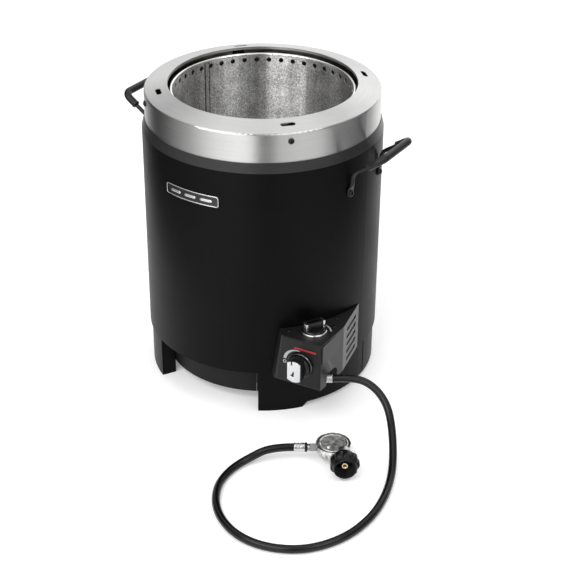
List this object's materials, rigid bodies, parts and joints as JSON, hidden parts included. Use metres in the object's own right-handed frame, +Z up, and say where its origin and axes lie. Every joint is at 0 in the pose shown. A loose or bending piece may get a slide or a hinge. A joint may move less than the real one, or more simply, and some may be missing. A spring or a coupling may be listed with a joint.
{
  "type": "propane roasting drum",
  "caption": "Free-standing gas roasting drum: perforated steel chamber in a painted shell, stainless top ring, control box, side handles, hose and regulator.",
  "frame": {"origin": "on the floor, on the drum's vertical axis", "axes": "+Z up along the drum's axis; -Y is the front with the badge; X runs through the two carrying handles, with the control box, hose and regulator at the front right (+X, -Y)"},
  "size_m": [0.6689, 0.6791, 0.5258],
  "materials": {
    "shell_paint": "satin black powder coat, fine grain",
    "box_paint": "satin black powder coat",
    "fascia_paint": "satin black film",
    "pan_paint": "matt black",
    "collar_paint": "satin dark grey",
    "top_stainless": "satin brushed stainless",
    "chamber_stainless": "mottled mill stainless",
    "plain_steel": "mill finish",
    "burner_steel": "mill finish",
    "black_fastener": "black oxide",
    "chrome": "polished",
    "badge_dark": "gloss black",
    "mark_white": "print",
    "mark_red": "print",
    "knob_plastic": "satin",
    "handle_paint": "satin black",
    "grip_rubber": "satin",
    "hose_rubber": "soft sheen",
    "crimp_steel": "bright zinc plate",
    "zinc": "die cast",
    "brass": "machined",
    "nut_plastic": "satin black",
    "seal_rubber": "matt",
    "ceramic": "glazed white",
    "lead_rubber": "matt"
  },
  "bodies": {
    "root": {"badge_inlay": "badge_dark", "badge_plate": "chrome", "base_ring": "shell_paint", "bottom_pan": "pan_paint", "box_screws": "black_fastener", "burner_ring": "burner_steel", "burner_supports": "plain_steel", "chamber_brackets": "plain_steel", "control_box": "box_paint", "cooking_chamber": "chamber_stainless", "drain_funnel": "plain_steel", "electrode_bracket": "plain_steel", "electrode_tip": "plain_steel", "fascia_bar": "mark_red", "fascia_marks": "mark_white", "front_fascia": "fascia_paint", "gas_hose": "hose_rubber", "gas_orifice": "brass", "gas_valve": "zinc", "grip_left": "grip_rubber", "grip_right": "grip_rubber", "handle_left": "handle_paint", "handle_nuts": "black_fastener", "handle_right": "handle_paint", "handle_screws": "black_fastener", "heat_jacket": "plain_steel", "hose_band": "hose_rubber", "hose_ferrule": "crimp_steel", "hose_inlet": "brass", "igniter_bezel": "chrome", "igniter_body": "knob_plastic", "ignition_lead": "lead_rubber", "inlet_nose": "brass", "inlet_seal": "seal_rubber", "jacket_spacers": "plain_steel", "knob_bezel": "chrome", "leg_boxes": "shell_paint", "louver_panel": "box_paint", "outer_shell": "shell_paint", "regulator_body": "zinc", "regulator_cover": "zinc", "regulator_ferrule": "crimp_steel", "regulator_nipple": "crimp_steel", "ring_brackets": "plain_steel", "shell_collar": "collar_paint", "spark_electrode": "ceramic", "top_ring": "top_stainless", "top_ring_screws": "black_fastener", "tray_rails": "plain_steel", "venturi_tube": "burner_steel"},
    "tray": {"grease_tray": "plain_steel", "tray_front": "pan_paint"},
    "plug": {"valve_plug": "brass"},
    "knob": {"control_knob": "knob_plastic", "knob_face": "chrome", "valve_stem": "crimp_steel"},
    "igniter": {"igniter_knob": "knob_plastic", "igniter_caps": "chrome", "igniter_shaft": "crimp_steel"},
    "coupling": {"coupling_nut": "nut_plastic"}
  },
  "joints": [
    {"name": "tray_slide", "type": "slide", "parent": "root", "child": "tray", "axis": [0, -1, 0], "range_m": [0, 0.16]},
    {"name": "knob_turn", "type": "hinge", "parent": "root", "child": "plug", "pos_m": [0.1825, -0.167, 0.122], "axis": [0.0819, -0.9966, 0], "range_deg": [0, 90]},
    {"name": "knob_push", "type": "slide", "parent": "plug", "child": "knob", "axis": [-0.0819, 0.9966, 0], "range_m": [0, 0.003], "stiffness_N_per_m": 800, "springref_m": -0.004},
    {"name": "igniter_turn", "type": "hinge", "parent": "root", "child": "igniter", "pos_m": [0.185, -0.131, 0.168], "axis": [0, 0, 1], "continuous": true},
    {"name": "coupling_spin", "type": "hinge", "parent": "root", "child": "coupling", "pos_m": [0.31644, -0.24908, 0.025], "axis": [0.5446, -0.8387, 0], "continuous": true}
  ]
}
